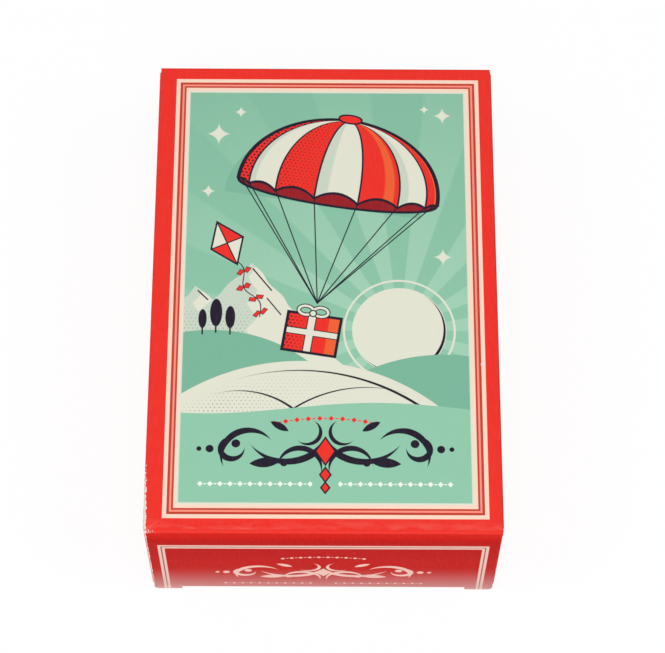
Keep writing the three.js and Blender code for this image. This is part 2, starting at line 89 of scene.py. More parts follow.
def colour_property(name, description, *display):
    return FloatVectorProperty(
        name=name,
        description=description,
        subtype="COLOR",
        size=3,
        min=0,
        max=1,
        default=shade(*display),
    )


def length_property(name, description, millimetres):
    return FloatProperty(
        name=name,
        description=description,
        subtype="DISTANCE",
        unit="LENGTH",
        min=0,
        default=millimetres * MM,
    )


class PrintInks(bpy.types.PropertyGroup):
    """Inks of the carton's print."""

    red: colour_property("Red", "Ground of every printed panel", 240, 49, 39)
    brick: colour_property("Brick", "Thin lines of the frame", 196, 62, 44)
    blush: colour_property("Blush", "Thin line between the brick ones", 255, 148, 130)
    cream: colour_property("Cream", "Wide lines of the frame", 255, 220, 198)
    ivory: colour_property("Ivory", "Pale shapes in the picture", 230, 230, 212)
    mint: colour_property("Mint", "Sky and meadow", 147, 203, 174)
    pine: colour_property("Pine", "Cast shadows and far hills", 124, 184, 156)
    navy: colour_property("Navy", "Outlines and ornament", 25, 16, 37)
    orange: colour_property("Orange", "Lit side of red shapes", 242, 98, 52)


class CartonFinish(bpy.types.PropertyGroup):
    """Board of the carton."""

    board: colour_property("Board", "Unprinted inside of the board", 226, 222, 212)
    core: colour_property("Core", "Cut edges and chips", 240, 232, 222)
    gloss_roughness: FloatProperty(
        name="Print roughness",
        description="Roughness of the coated print",
        min=0,
        max=1,
        default=0.36,
    )
    crease_outer: length_property("Crease radius", "Outside of a hinged crease", 0.8)
    crease_inner: length_property("Inner crease radius", "Inside of a hinged crease", 0.3)


class ClothFinish(bpy.types.PropertyGroup):
    """Canopy, bands and strap."""

    navy: colour_property("Cloth", "Canopy and bands", 44, 42, 92)
    webbing: colour_property("Webbing", "Strap that loops round the link", 32, 28, 58)
    thread: colour_property("Thread", "Sewing thread", 150, 150, 186)
    thickness: length_property("Cloth thickness", "One ply of the canopy", 0.16)
    plies: IntProperty(
        name="Plies", description="Layers in the folded canopy", min=4, max=40, default=24
    )
    ripstop: length_property("Ripstop", "Pitch of the reinforcing threads", 3.2)
    strap_thickness: length_property("Strap thickness", "One ply of the webbing", 0.66)


class ToyFinish(bpy.types.PropertyGroup):
    """Moulded figure."""

    red: colour_property("Plastic", "Moulded plastic", 214, 36, 26)
    voxel: length_property("Detail", "Size of the surface mesh", 0.352)
    parting: length_property("Parting line", "Height of the parting line over the back", 8.0)


class StageSettings(bpy.types.PropertyGroup):
    """Floor, light and camera."""

    lens: FloatProperty(
        name="Focal length",
        description="Camera focal length",
        subtype="DISTANCE_CAMERA",
        min=1,
        default=130.75,
    )
    elevation: FloatProperty(
        name="Elevation",
        description="Camera angle above the floor",
        subtype="ANGLE",
        default=math.radians(64.877),
    )
    azimuth: FloatProperty(
        name="Azimuth",
        description="Camera angle round the carton",
        subtype="ANGLE",
        default=math.radians(-0.4),
    )
    roll: FloatProperty(
        name="Roll",
        description="Camera tilt about its own axis",
        subtype="ANGLE",
        default=math.radians(0.614),
    )
    key_power: FloatProperty(
        name="Key light", description="Power of the overhead softbox", unit="POWER", default=7.5
    )
    sky: FloatProperty(
        name="Room light", description="Strength of the even room light", min=0, default=0.35
    )


# Shader maths


class Wire:
    """One socket of a material, so that patterns are written as sums."""

    def __init__(self, paint, socket):
        self.paint = paint
        self.socket = socket

    def __add__(self, other):
        return self if is_number(other, 0) else self.paint.maths("ADD", self, other)

    __radd__ = __add__

    def __sub__(self, other):
        return self if is_number(other, 0) else self.paint.maths("SUBTRACT", self, other)

    def __rsub__(self, other):
        return self.paint.maths("SUBTRACT", other, self)

    def __mul__(self, other):
        return self if is_number(other, 1) else self.paint.maths("MULTIPLY", self, other)

    __rmul__ = __mul__

    def __truediv__(self, other):
        return self.paint.maths("DIVIDE", self, other)

    def __neg__(self):
        return self.paint.maths("MULTIPLY", self, -1)

    def __abs__(self):
        return self.paint.maths("ABSOLUTE", self)

    def __gt__(self, other):
        return self.paint.maths("GREATER_THAN", self, other)

    def __lt__(self, other):
        return self.paint.maths("LESS_THAN", self, other)


def is_number(value, number):
    return not isinstance(value, Wire) and value == number


class Paint:
    """Builds one material, or another owner of a node tree, out of nodes."""

    def __init__(self, name, owner=None):
        self.owner = owner or bpy.data.materials.new(name)
        self.owner.use_nodes = True
        self.tree = self.owner.node_tree
        self.tree.nodes.clear()

    def node(self, kind, settings=None, sockets=None, output=0):
        made = self.tree.nodes.new(kind)
        for name, value in (settings or {}).items():
            setattr(made, name, value)
        for key, value in (sockets or {}).items():
            if isinstance(value, Wire):
                self.tree.links.new(value.socket, made.inputs[key])
            else:
                made.inputs[key].default_value = value
        return None if output is None else Wire(self, made.outputs[output])

    def maths(self, operation, *values, clamp=False):
        settings = {"operation": operation, "use_clamp": clamp}
        return self.node("ShaderNodeMath", settings, dict(enumerate(values)))

    def object_mm(self):
        """Object coordinates in millimetres: the vector, then its parts."""
        place = self.node("ShaderNodeTexCoord", output="Object")
        settings, sockets = {"operation": "SCALE"}, {0: place, "Scale": 1 / MM}
        scaled = self.node("ShaderNodeVectorMath", settings, sockets)
        return scaled, *self.parts(scaled)

    def cloth_mm(self):
        """The piece's own UV map, which is laid out in millimetres."""
        return self.parts(self.node("ShaderNodeUVMap", {"uv_map": "cloth"}))[:2]

    def parts(self, vector):
        split = self.node("ShaderNodeSeparateXYZ", sockets={0: vector})
        outputs = split.socket.node.outputs
        return [Wire(self, outputs[i]) for i in range(3)]

    def surface(self, colour, roughness, height=None, relief=0.0, **constants):
        """Ends the material with one principled shader."""
        sockets = {"Base Color": solid(colour), "Roughness": roughness, **constants}
        if height is not None:
            bump = {"Height": height, "Distance": relief * MM, "Strength": 1.0}
            sockets["Normal"] = self.node("ShaderNodeBump", sockets=bump)
        shader = self.node("ShaderNodeBsdfPrincipled", sockets=sockets)
        self.node("ShaderNodeOutputMaterial", sockets={"Surface": shader}, output=None)
        return self.owner


def solid(colour):
    return colour if isinstance(colour, Wire) else (*colour[:3], 1)


def mix(mask, below, above):
    """Lays one colour over another."""
    sockets = {0: mask, 6: solid(below), 7: solid(above)}
    return mask.paint.node("ShaderNodeMix", {"data_type": "RGBA"}, sockets, 2)


def between(mask, start, end):
    sockets = {0: mask, 2: start, 3: end}
    return mask.paint.node("ShaderNodeMix", {"data_type": "FLOAT"}, sockets)


def join(x, y, z=0.0):
    return x.paint.node("ShaderNodeCombineXYZ", sockets={0: x, 1: y, 2: z})


def speckle(vector, scale, detail=2.0, roughness=0.5):
    sockets = {"Vector": vector, "Scale": scale, "Detail": detail, "Roughness": roughness}
    return vector.paint.node("ShaderNodeTexNoise", {"noise_dimensions": "3D"}, sockets)


def low(*values):
    return reduce(lambda a, b: a.paint.maths("MINIMUM", a, b), values)


def high(*values):
    return reduce(lambda a, b: a.paint.maths("MAXIMUM", a, b), values)


def root(a):
    return a.paint.maths("SQRT", a)


def wrap(a):
    return a.paint.maths("FRACT", a)


def sine(a):
    return a.paint.maths("SINE", a)


def bearing(u, v):
    """Angle from the first direction towards the second."""
    return u.paint.maths("ARCTAN2", v, u)


def held(a):
    """Kept between 0 and 1."""
    return a.paint.maths("ADD", a, 0, clamp=True)


def ramp(a, start, end):
    """Rises from 0 at start to 1 at end."""
    slope = 1 / (end - start)
    return a.paint.maths("MULTIPLY_ADD", a, slope, -start * slope, clamp=True)


# Shapes drawn by their distance, in millimetres, negative inside


def reach(u, v):
    return root(u * u + v * v)


def disc(x, y, across, up, radius):
    return reach(x - across, y - up) - radius


def oval(u, v, half_width, half_height):
    near = reach(u / half_width, v / half_height)
    slope = high(reach(u / half_width**2, v / half_height**2), 0.001)
    return near * (near - 1) / slope


def slab(u, v, half_width, half_height):
    return high(abs(u) - half_width, abs(v) - half_height)


def rhomb(u, v, half_width, half_height):
    return (abs(u) / half_width + abs(v) / half_height - 1) * min(half_width, half_height)


def stroke(x, y, start, end, half_width):
    (ax, ay), (bx, by) = start, end
    dx, dy = bx - ax, by - ay
    px, py = x - ax, y - ay
    squared = dx * dx + dy * dy
    share = held(px * (dx / squared) + py * (dy / squared))
    return reach(px - share * dx, py - share * dy) - half_width


def crescent(x, y, outside, inside):
    """What is left of one disc outside another, each (across, up, radius)."""
    return high(disc(x, y, *outside), -disc(x, y, *inside))


def sparkle(x, y, across, up, size):
    """A four-pointed star."""
    roundness = 0.6
    a, b = (x.paint.maths("POWER", abs(d), roundness) for d in (x - across, y - up))
    return a + b - size**roundness


def turned(x, y, across, up, degrees):
    """Coordinates about a point, on axes turned anticlockwise."""
    c, s = math.cos(math.radians(degrees)), math.sin(math.radians(degrees))
    px, py = x - across, y - up
    return px * c + py * s, py * c - px * s


def ink(distance, soft=0.14):
    """1 inside a shape, 0 outside, with a soft edge."""
    return distance.paint.maths("MULTIPLY_ADD", distance, -1 / soft, 0.5, clamp=True)


def lay(colour, shape, fill, share=1, soft=0.14):
    """Prints a shape over a colour. share is how well the ink covers, soft its edge's width."""
    return mix(ink(shape, soft) * share, colour, fill)


def outlined(colour, shape, fill, inks, line=0.5):
    """Prints a shape with a navy outline outside it."""
    return lay(lay(colour, shape - line, inks.navy), shape, fill)


# The print

FRONT_STARS = (
    (-29.5, 48, 3.4),
    (32, 10, 2.6),
    (-23.5, 55, 1.8),
    (32.5, 54, 2.6),
    (-32, 30, 2.0),
    (27.5, 56, 1.4),
)
BACK_STARS = ((31, 50, 3.0), (24.5, 57, 1.6), (33, 12, 2.4), (27, 3, 1.5))
TREES = ((-32.6, -12.6, 5.6), (-29, -12.1, 8.2), (-25.2, -12.6, 6.6))  # across, foot, height
FRAME_HALF_WIDTH = 42.2
FRAME_INSET = 3.85  # of the print's frame from the ends of the carton


def frame_lines(colour, u, v, half_width, half_height, steps):
    """Lines that run round a rectangle. Each step is (inset of its outer edge, ink)."""
    inset = -slab(u, v, half_width, half_height)
    for start, fill in steps:
        colour = lay(colour, start - inset, fill)
    return colour


def stipple(u, v, depth, pitch=1.15):
    """Dots on a staggered grid, as large as the shading is deep."""
    row = v / (pitch * 0.87)
    shift = wrap((row - wrap(row)) * 0.5)
    across = wrap(u / pitch + shift) - 0.5
    up = wrap(row) - 0.5
    return ink(reach(across, up) * pitch - depth * 0.3, 0.16)


def parachute(colour, x, y, inks, across, up, degrees, scale):
    """A striped canopy with its lines, carrying a tied parcel."""
    radius, flatness, rim, drop, gores = 28.0, 0.8, 3.4, 36.0, 7
    x, y = (x - across) / scale, (y - up) / scale
    u, v = turned(x, y, 0, 0, degrees)

    def dome(a, b, edge):
        return high((reach(a, b / flatness) - radius) * 0.85, edge - b)

    shadow = turned(x, y, -4.2, -3.4, degrees)
    colour = lay(colour, dome(*shadow, -1.5), inks.pine, 0.85)
    lining = oval(u, v + 0.4, radius, 4.6)
    colour = outlined(colour, lining, shade(150, 26, 34), inks, 0.75)
    for seam in range(gores // 2 + 1):
        angle = math.pi * (0.5 - seam / gores)
        bottom = (radius * math.sin(angle), -rim * math.cos(angle))
        colour = lay(colour, stroke(abs(u), v, bottom, (0, -drop), 0.17), inks.navy)

    top = high(v / flatness, 0)
    half = root(high(radius * radius - top * top, 0.01))
    turn = low(high(u / half, -1), 1)
    cosine = root(high(1 - turn * turn, 0))
    gore = u.paint.maths("ARCSINE", turn) * (gores / math.pi) + gores / 2
    part = wrap(gore)
    body = dome(u, v, cosine * -rim + part * (1 - part) * 4 * 2.6 * cosine)
    seams = low(part, 1 - part) * half * cosine * (math.pi / gores)

    lit = ink(abs(part - 0.72) - 0.13, 0.05) * (turn > 0.1)
    red = mix(lit, inks.red, inks.orange)
    red = mix(stipple(u, v, ramp(-turn, -0.1, 0.9)), red, inks.navy)
    pale = lay(inks.ivory, abs(part - 0.14) - 0.14, shade(198, 212, 194), 0.8, 0.05)
    fill = lay(mix(wrap(gore * 0.5) < 0.5, pale, red), seams - 0.26, inks.navy)
    colour = outlined(colour, body, fill, inks, 0.85)
    colour = outlined(colour, oval(u, v - 23.2, 3.0, 1.1), inks.red, inks, 0.5)
    return parcel(colour, u, v + drop + 9.5, inks)


def parcel(colour, u, v, inks):
    """A square parcel with a ribbon and a bow."""
    ribbon_x, ribbon_y = -0.6, 0.3
    box = slab(u, v, 6.6, 5.0) - 0.4
    fill = lay(inks.red, 4.2 - u, inks.orange)
    fill = mix(stipple(u, v, ramp(-u, -1.0, 7.5)), fill, inks.navy)
    ribbon = low(abs(u - ribbon_x) - 0.95, abs(v - ribbon_y) - 0.8)
    fill = outlined(fill, ribbon, inks.ivory, inks, 0.28)
    colour = outlined(colour, box, fill, inks, 0.8)
    bow = abs(oval(abs(u - ribbon_x) - 2.1, v - 6.9, 2.0, 1.35)) - 0.35
    colour = outlined(colour, bow, inks.ivory, inks, 0.3)
    return outlined(colour, disc(u, v, ribbon_x, 6.2, 0.75), inks.ivory, inks, 0.35)


def kite(colour, x, y, inks, across, up, degrees):
    """A diamond kite with bows on its tail."""
    u, v = turned(x, y, across, up, degrees)
    swing = u - sine(v * 0.55) * 1.1
    colour = lay(colour, high(abs(swing) - 0.16, v + 6, -v - 24), inks.navy)
    beat = wrap((v + 25) / 4.4) * 4.4 - 2.2
    bow = high(rhomb(abs(swing) - 1.0, beat, 1.0, 0.75), v + 7.5, -v - 24)
    colour = outlined(colour, bow, inks.red, inks, 0.22)
    fill = mix((u * v) > 0, inks.ivory, inks.red)
    fill = lay(fill, low(abs(u), abs(v)) - 0.18, inks.navy)
    return outlined(colour, rhomb(u, v, 4.4, 6.6), fill, inks, 0.6)


def kite_shape(u, v):
    """A small diamond kite in one ink, split by its spars."""
    sail = high(rhomb(u, v, 4.4, 6.6), 0.22 - low(abs(u), abs(v)))
    return low(sail, high(abs(u - sine(v * 0.9) * 0.7) - 0.18, v + 6, -v - 12))


def flourish(x, y):
    """A mirrored scroll with leaves, drawn about its middle."""
    a = abs(x)
    return low(
        crescent(a, y, (9.6, 7.6, 11.6), (10.6, 9.9, 12.2)),
        crescent(a, y, (20.4, -0.8, 7.2), (19.3, -2.6, 7.5)),
        crescent(a, y, (24.6, 0.3, 3.5), (24.0, 1.2, 2.9)),
        crescent(a, y, (6.6, -4.4, 5.8), (6.9, -5.9, 5.8)),
        crescent(a, y, (4.4, 5.0, 3.6), (5.2, 5.6, 3.5)),
        high(disc(a, y, 15.0, -9.4, 7.4), disc(a, y, 16.2, 1.8, 6.6)),
        high(disc(a, y, 10.2, 10.0, 4.6), disc(a, y, 13.6, 4.0, 4.2)),
        disc(a, y, 23.4, 1.9, 1.15),
        disc(a, y, 10.8, -3.5, 1.0),
        disc(a, y, 30.2, 0.4, 1.05),
        disc(a, y, 33.0, 0.4, 0.65),
    )


def beads(x, y, pitch, first, last, size=0.75):
    """A line of diamonds with dashes between, from the first to the last on both sides."""
    step = (wrap(x / pitch) - 0.5) * pitch
    dash = slab(abs(step) - pitch / 2, y, pitch * 0.14, size * 0.2)
    bead = low(rhomb(step, y, size, size), dash)
    return high(bead, abs(x) - pitch * last, pitch * first - abs(x))


def arched_beads(x, y, radius, pitch, size=0.75):
    """A short line of beads on an arc about a point."""
    return beads(bearing(y, x) * radius, reach(x, y) - radius, pitch, -1, 4.75, size)


def rays(x, y, across, up, count):
    """Rays about a point, 1 on each and 0 between."""
    return ramp(sine(bearing(x - across, y - up) * count), -0.12, 0.12)


def stars(x, y, places):
    return low(*(sparkle(x, y, *place) for place in places))


def peak(x, y, across, top, left, right):
    """Under a mountain's two slopes."""
    u, v = x - across, y - top
    return high((v - u * left) / math.hypot(1, left), (v + u * right) / math.hypot(1, right))


def tree(x, y, across, foot, height):
    crown = oval(x - across, y - foot - 1.1 - height / 2, height * 0.2, height / 2)
    return low(crown, stroke(x, y, (across, foot - 0.6), (across, foot + 1.8), 0.22))


def sky(x, y, inks):
    """The front's sky: rays, a sun with a ring and a shaded rim, and stars."""
    sun_x, sun_y, radius = 20.0, -12.0, 12.6
    colour = mix(ramp(y, -40, 62), inks.mint, shade(134, 191, 163))
    fade = ramp(reach(x - sun_x, y - sun_y), 95, 18) * 0.42
    colour = mix(rays(x, y, sun_x, sun_y, 15) * fade, colour, shade(186, 224, 200))
    sun = disc(x, y, sun_x, sun_y, radius)
    colour = lay(colour, low(sun, abs(sun - 2.2) - 0.28), inks.ivory)
    lit = (sun_x - 0.55, sun_y + 0.5, radius - 0.25)
    colour = lay(colour, crescent(x, y, (sun_x, sun_y, radius - 0.2), lit), inks.navy)
    return lay(colour, stars(x, y, FRONT_STARS), inks.ivory, soft=0.3)


def peaks(colour, x, y, inks):
    """Two pale mountains with one side in the shade."""
    rough = x + sine(y * 0.9) * 0.35
    first, second = peak(rough, y, -19.5, 8, 1.05, 1.25), peak(rough, y, -34.5, 1, 1.1, 0.95)
    colour = lay(colour, low(first, second), inks.ivory)
    ridge = rough - abs(wrap(y / 8) - 0.5) * 5
    shaded = low(high(first, ridge + 20.6), high(second, ridge + 35.2))
    colour = lay(colour, shaded, shade(196, 213, 196), 0.75)
    dots = stipple(x, y, ramp(y, 3, -16) * 0.55)
    colour = lay(colour, shaded + 0.6, inks.navy, dots * 0.85)
    lines = low(
        stroke(x, y, (-19.3, 6.2), (-14.3, -0.2), 0.2),
        stroke(x, y, (-15.4, -2.6), (-11.7, -7.4), 0.18),
        stroke(x, y, (-34, -0.4), (-31.4, -3.0), 0.2),
    )
    return lay(colour, lines, inks.navy)


def hills(colour, x, y, inks):
    """Far hills with trees, a pale hill with contour lines, and the meadow."""
    far = low(disc(x, y, -30, -53, 41), disc(x, y, 32, -67, 48))
    colour = lay(colour, far, inks.pine)
    colour = lay(colour, low(*(tree(x, y, *place) for place in TREES)), inks.navy)
    near = disc(x, y, -6, -78, 57)
    colour = lay(colour, near, inks.ivory)
    contours = low(
        crescent(x, y, (-6, -78, 54.4), (-7.0, -78.7, 54.8)),
        crescent(x, y, (11, -62, 33.5), (11.7, -62.5, 33.8)),
        crescent(x, y, (-22, -52, 22.4), (-22.8, -52.3, 22.5)),
    )
    colour = lay(colour, contours, inks.navy)
    hollow = stipple(x, y, ramp(near, -2.0, -7.5) * ramp(x, 12, -40) * 0.62)
    colour = lay(colour, near + 3, inks.navy, hollow * 0.9)
    return lay(colour, y + 34.6 - sine(x * 0.07 + 0.6) * 1.6, inks.mint)


def front_picture(x, y, inks):
    """The picture inside the front panel's frame."""
    colour = hills(peaks(sky(x, y, inks), x, y, inks), x, y, inks)
    colour = kite(colour, x, y, inks, -26.5, 14, 24)
    colour = parachute(colour, x, y, inks, 3.5, 30.5, -9, 0.97)
    x = x - 0.4
    colour = lay(colour, arched_beads(x, y + 99.5, 62, 3.0), inks.red)
    colour = lay(colour, flourish(x, y + 46.6), inks.navy)
    gems = low(
        rhomb(x, y + 46.8, 2.3, 3.5), rhomb(x, y + 53.4, 1.2, 1.7), rhomb(x, y + 57, 0.9, 1.2)
    )
    colour = outlined(colour, gems, inks.red, inks, 0.5)
    return lay(colour, beads(x, y + 56, 2.6, 1.3, 12.75), shade(244, 250, 240))


def back_picture(x, y, inks):
    """The picture inside the back panel's frame: the parachute over hills, and a scroll."""
    shine = rays(x, y, 0, -16, 14) * ramp(y, -30, 10) * 0.4
    colour = mix(shine, inks.mint, shade(186, 224, 200))
    colour = lay(colour, stars(abs(x), y, BACK_STARS), inks.ivory, soft=0.3)
    colour = parachute(colour, x, y, inks, 0.5, 30, 0, 0.86)
    far = low(disc(x, y, -27, -60, 46), disc(x, y, 29, -68, 50))
    colour = lay(colour, far, inks.pine)
    near = disc(x, y, 0, -96, 72)
    colour = outlined(colour, near, inks.ivory, inks, 0.4)
    hollow = stipple(x, y, ramp(near, -0.8, -5.5) * 0.6)
    colour = lay(colour, near + 1.2, inks.navy, hollow * 0.9)
    colour = lay(colour, y + 30.4 - sine(x * 0.16 + math.pi / 2) * 1.4, inks.mint)
    scroll = low(flourish(x, y + 42), beads(x, y + 54.5, 2.6, 1.3, 11.75))
    colour = lay(colour, scroll, inks.navy)
    return outlined(colour, rhomb(x, y + 42.2, 2.0, 3.0), inks.red, inks, 0.45)


def front_print(inks):
    def picture(x, y, z):
        steps = [
            (0.0, inks.cream),
            (1.1, inks.brick),
            (1.75, inks.blush),
            (2.3, inks.brick),
            (2.8, inks.cream),
        ]
        # Painted highlight: a faint pale line along a small diagonal wrinkle near the foot's left
        # corner.
        wrinkle_highlight = stroke(x, y, (-42.6, 3.0 - LONG), (-46.2, 0.4 - LONG), 0.05)
        ground = lay(inks.red, wrinkle_highlight, shade(255, 132, 120), 0.3, 0.5)
        # Painted shade: a dark line along the right-hand crease, where the board turns from the
        # light.
        ground = mix(ramp(x, WIDE - 0.5, WIDE - 0.15) * 0.6, ground, shade(110, 14, 18))
        # Painted highlight: a blotchy pale band along the foot crease, where the bending board
        # catches the light.
        painted_crease_sheen = ramp(speckle(join(x * 0.12, y * 0.5), 1.0, 3.0, 0.6), 0.42, 0.62)
        painted_crease_sheen = painted_crease_sheen * ramp(-y, LONG - 4, LONG - 1.2) * 0.16
        ground = mix(painted_crease_sheen, ground, shade(255, 160, 148))
        lines = frame_lines(ground, x - 0.55, y, FRAME_HALF_WIDTH, LONG - FRAME_INSET, steps)
        field = slab(x - 0.4, y, 38.05, LONG - 8.2)
        lines = lay(lines, field - 0.6, inks.ivory, soft=0.7)
        return lay(lines, field, front_picture(x, y, inks), soft=0.25)

    return picture


def back_print(inks):
    def picture(x, y, z):
        steps = [(0.0, inks.cream), (1.1, inks.brick), (2.3, inks.cream)]
        lines = frame_lines(inks.red, x, y, FRAME_HALF_WIDTH, LONG - FRAME_INSET, steps)
        field = slab(x, y, 38.9, LONG - 7.15)
        return lay(lines, field, back_picture(-x, y, inks), soft=0.25)

    return picture


def side_print(inks):
    def picture(x, y, z):
        steps = [(0.0, inks.cream), (0.7, inks.brick), (1.1, inks.cream), (1.75, inks.red)]
        up = z - TALL / 2
        colour = frame_lines(inks.red, y, up, LONG - FRAME_INSET, TALL / 2 - 3.6, steps)
        ornament = low(
            flourish(y / 1.2, up / 1.2) * 1.2,
            rhomb(y, up, 2.4, 3.6),
            beads(y, up - 0.8, 2.8, 15.3, 21.75),
            kite_shape(abs(y) - 50, up),
            stars(abs(y), up, ((58, 8.5, 1.8), (44, -8.5, 1.8))),
        )
        return lay(colour, ornament, inks.cream)

    return picture


def lid_print(inks):
    def picture(x, y, z):
        pale = shade(255, 213, 200)
        # Painted shade: the lid's red is darkened, least under the top crease, where the lighter
        # ground is a painted highlight of the bend, and a little less low down.
        painted_lid_shade = 0.78 - ramp(z, TALL - 7, TALL - 0.5) * 0.68 - ramp(z, 28, 22) * 0.1
        ground = mix(painted_lid_shade, inks.red, shade(188, 0, 4))
        steps = [(0.0, pale), (0.75, shade(150, 60, 60)), (1.05, pale), (1.75, ground)]
        up = (z - 34.4) / 1.35 + 14.2
        colour = frame_lines(ground, x, up, 43.3, 14.2, steps)
        ornament = low(
            flourish(x / 0.86, (z - 13.4) / 0.86) * 0.86,
            rhomb(x, z - 13.2, 1.8, 2.6),
            beads(x, z - 4.9, 2.3, 1.3, 11.75, 0.6),
            arched_beads(x, z + 24, 49.6, 2.4, 0.65),
        )
        colour = lay(colour, ornament, pale)
        # Painted reflection of the white floor: the foot lid's print pales towards its lower edge.
        painted_floor_reflection = ramp(z, 19, 1)
        return mix(painted_floor_reflection * painted_floor_reflection * (y < 0) * 0.52, colour, shade(244, 220, 216))

    return picture


def bleed_print(inks, edge):
    """Ink that runs a little past the crease, then bare board. edge(x, y) is that distance."""

    def picture(x, y, z):
        return lay(shade(228, 224, 214), edge(x, y) - 5, inks.red)

    return picture


# The board


def wear(spot, x, y, z):
    """Chips along the creases, most of them near the corner that was knocked."""
    sides, ends = WIDE - abs(x), LONG - abs(y)
    faces = TALL / 2 - abs(z - TALL / 2)
    rim = -high(low(sides, ends), low(high(sides, ends), faces))
    grain = speckle(spot, 0.9, 3.0, 0.7)
    fine = speckle(spot, 2.6, 2.0, 0.6)
    knock = ramp(reach(x + WIDE, (y + LONG) * 0.3), 8, 0.5) * ramp(z, TALL - 12, TALL)
    knock = high(knock * 0.58, ramp(reach(x + WIDE, y - LONG), 1.8, 0.4) * 0.4)
    edge = ramp(rim, -1.2, -0.4)
    frayed = ramp(-x, WIDE - 0.95, WIDE - 0.6) * ramp(-y, LONG - 0.9, LONG - 0.5)
    chips = grain + high(knock * edge, frayed * 0.5) + edge * 0.12
    nick = ramp(reach(x - 42.1, y + 21.8), 0.8, 0.3) * (z > TALL - 1)
    return high(ramp(chips + fine * 0.1, 0.9, 0.95), nick * ramp(fine, 0.4, 0.5))


def card(name, carton, picture=None, depth=None, chips=True, bow=None, shine=0.14):
    """Board. picture(x, y, z) is its print, depth(x, y, z) how far a point lies under the
    printed face, and bow(z) a slow bend of the board."""
    cut_roughness = 0.78
    paint = Paint(name)
    spot, x, y, z = paint.object_mm()
    fibre = speckle(spot, 1.4, 4.0, 0.65)
    fleck = speckle(spot, 5.0, 2.0, 0.6)
    inside = mix(ramp(fibre, 0.35, 0.7) * 0.22, carton.board, shade(196, 190, 178))
    inside = mix(ramp(fleck, 0.66, 0.72) * 0.4, inside, shade(168, 160, 146))
    if picture is None:
        return paint.surface(inside, cut_roughness, fleck, 0.03)
    under = depth(x, y, z)
    grain = speckle(join(x * 1.6, y * 0.3, z * 0.3), 1.0, 3.0, 0.6)
    colour = mix(ramp(grain, 0.4, 0.75) * 0.012, picture(x, y, z), shade(255, 240, 230))
    printed = ink(under - 0.08, 0.06)
    cut = lay(inside, under - 0.42, carton.core, soft=0.05)
    height = speckle(spot, 0.035, 2.0, 0.5) * 5.0 + fleck * 0.015
    mask = printed
    if chips:
        worn = wear(spot, x, y, z)
        mask = printed * (1 - worn)
        height = height - worn * 0.25
    if bow:
        height = height + bow(z) * 10
    colour = mix(mask, mix(printed, cut, carton.core), colour)
    rough = between(mask, cut_roughness, carton.gloss_roughness)
    return paint.surface(colour, rough, height, 0.1, **{"Specular IOR Level": shine})


def tube_depth(x, y, z):
    """How far under the outside of the carton's tube."""
    crease = 0.9
    a = abs(x) - (WIDE - crease)
    b = abs(z - TALL / 2) - (TALL / 2 - crease)
    return crease - (reach(high(a, 0), high(b, 0)) + low(high(a, b), 0))


def lid_bow(z):
    """A lid springs outwards a little between its creases, most of all under the top one."""
    top, foot = ramp(z, TALL - 9, TALL), ramp(z, 16, 2)
    return top * top * top * -3.3 + foot * foot * -1.4


# The pieces


def dress(node, material):
    """Puts a material on a packed node."""
    piece = NODES[node]
    piece.data.materials.clear()
    piece.data.materials.append(material)


def new_piece(name, mesh_source, materials, smooth=True):
    """A finished object from a bmesh, which is freed."""
    mesh = bpy.data.meshes.new(name)
    mesh_source.to_mesh(mesh)
    mesh_source.free()
    for material in materials:
        mesh.materials.append(material)
    if smooth:
        mesh.shade_smooth()
    piece = bpy.data.objects.new(name, mesh)
    bpy.context.scene.collection.objects.link(piece)
    return piece


def to_metres(work):
    bmesh.ops.scale(work, vec=(MM, MM, MM), verts=work.verts[:])


def swept_line(points, shift, steps):
    """A sheet: the line through the points, moved along shift in equal steps. The layer
    holds each point's place along the line. The line's length comes last."""
    work = bmesh.new()
    along = work.verts.layers.float.new("along")
    last = work.verts.new(points[0])
    length = 0.0
    for before, point in zip(points, points[1:]):
        last = bmesh.ops.extrude_vert_indiv(work, verts=[last])["verts"][0]
        last.co = point
        length += math.dist(before, point)
        last[along] = length
    row = work.edges[:]
    for _ in range(steps):
        made = bmesh.ops.extrude_edge_only(work, edges=row)["geom"]
        moved = {g for g in made if isinstance(g, bmesh.types.BMVert)}
        bmesh.ops.translate(work, verts=list(moved), vec=shift / steps)
        edges = (g for g in made if isinstance(g, bmesh.types.BMEdge))
        row = [e for e in edges if moved.issuperset(e.verts)]
    return work, along, length


def cloth_piece(name, work, place, material, thickness):
    """A finished sheet of cloth. place(vert) is where a point lies on the flat cloth."""
    layer = work.loops.layers.uv.new("cloth")
    for face in work.faces:
        for loop in face.loops:
            loop[layer].uv = place(loop.vert)
    to_metres(work)
    bmesh.ops.recalc_face_normals(work, faces=work.faces[:])
    piece = new_piece(name, work, [material])
    wall = piece.modifiers.new("Cloth", "SOLIDIFY")
    wall.thickness, wall.offset = thickness, 0
    return piece


class Builder:
    """Shared by the operators: each builds one group of pieces."""

    bl_options = {"REGISTER", "UNDO"}

    def execute(self, context):
        self.build(context.scene)
        return {"FINISHED"}


class TOYCARTON_OT_panels(Builder, bpy.types.Operator):
    """Prints the carton's front, back and sides"""

    bl_idname = "toycarton.panels"
    bl_label = "Print the panels"

    def build(self, scene):
        inks, carton = scene.print_inks, scene.carton_finish
        dress("front_panel", card("Front print", carton, front_print(inks), tube_depth))
        dress("back_panel", card("Back print", carton, back_print(inks), tube_depth))
        side = card("Side print", carton, side_print(inks), tube_depth)
        for name in ("left_side_panel", "right_side_panel"):
            dress(name, side)
        dress("glue_flap", card("Bare board", carton))


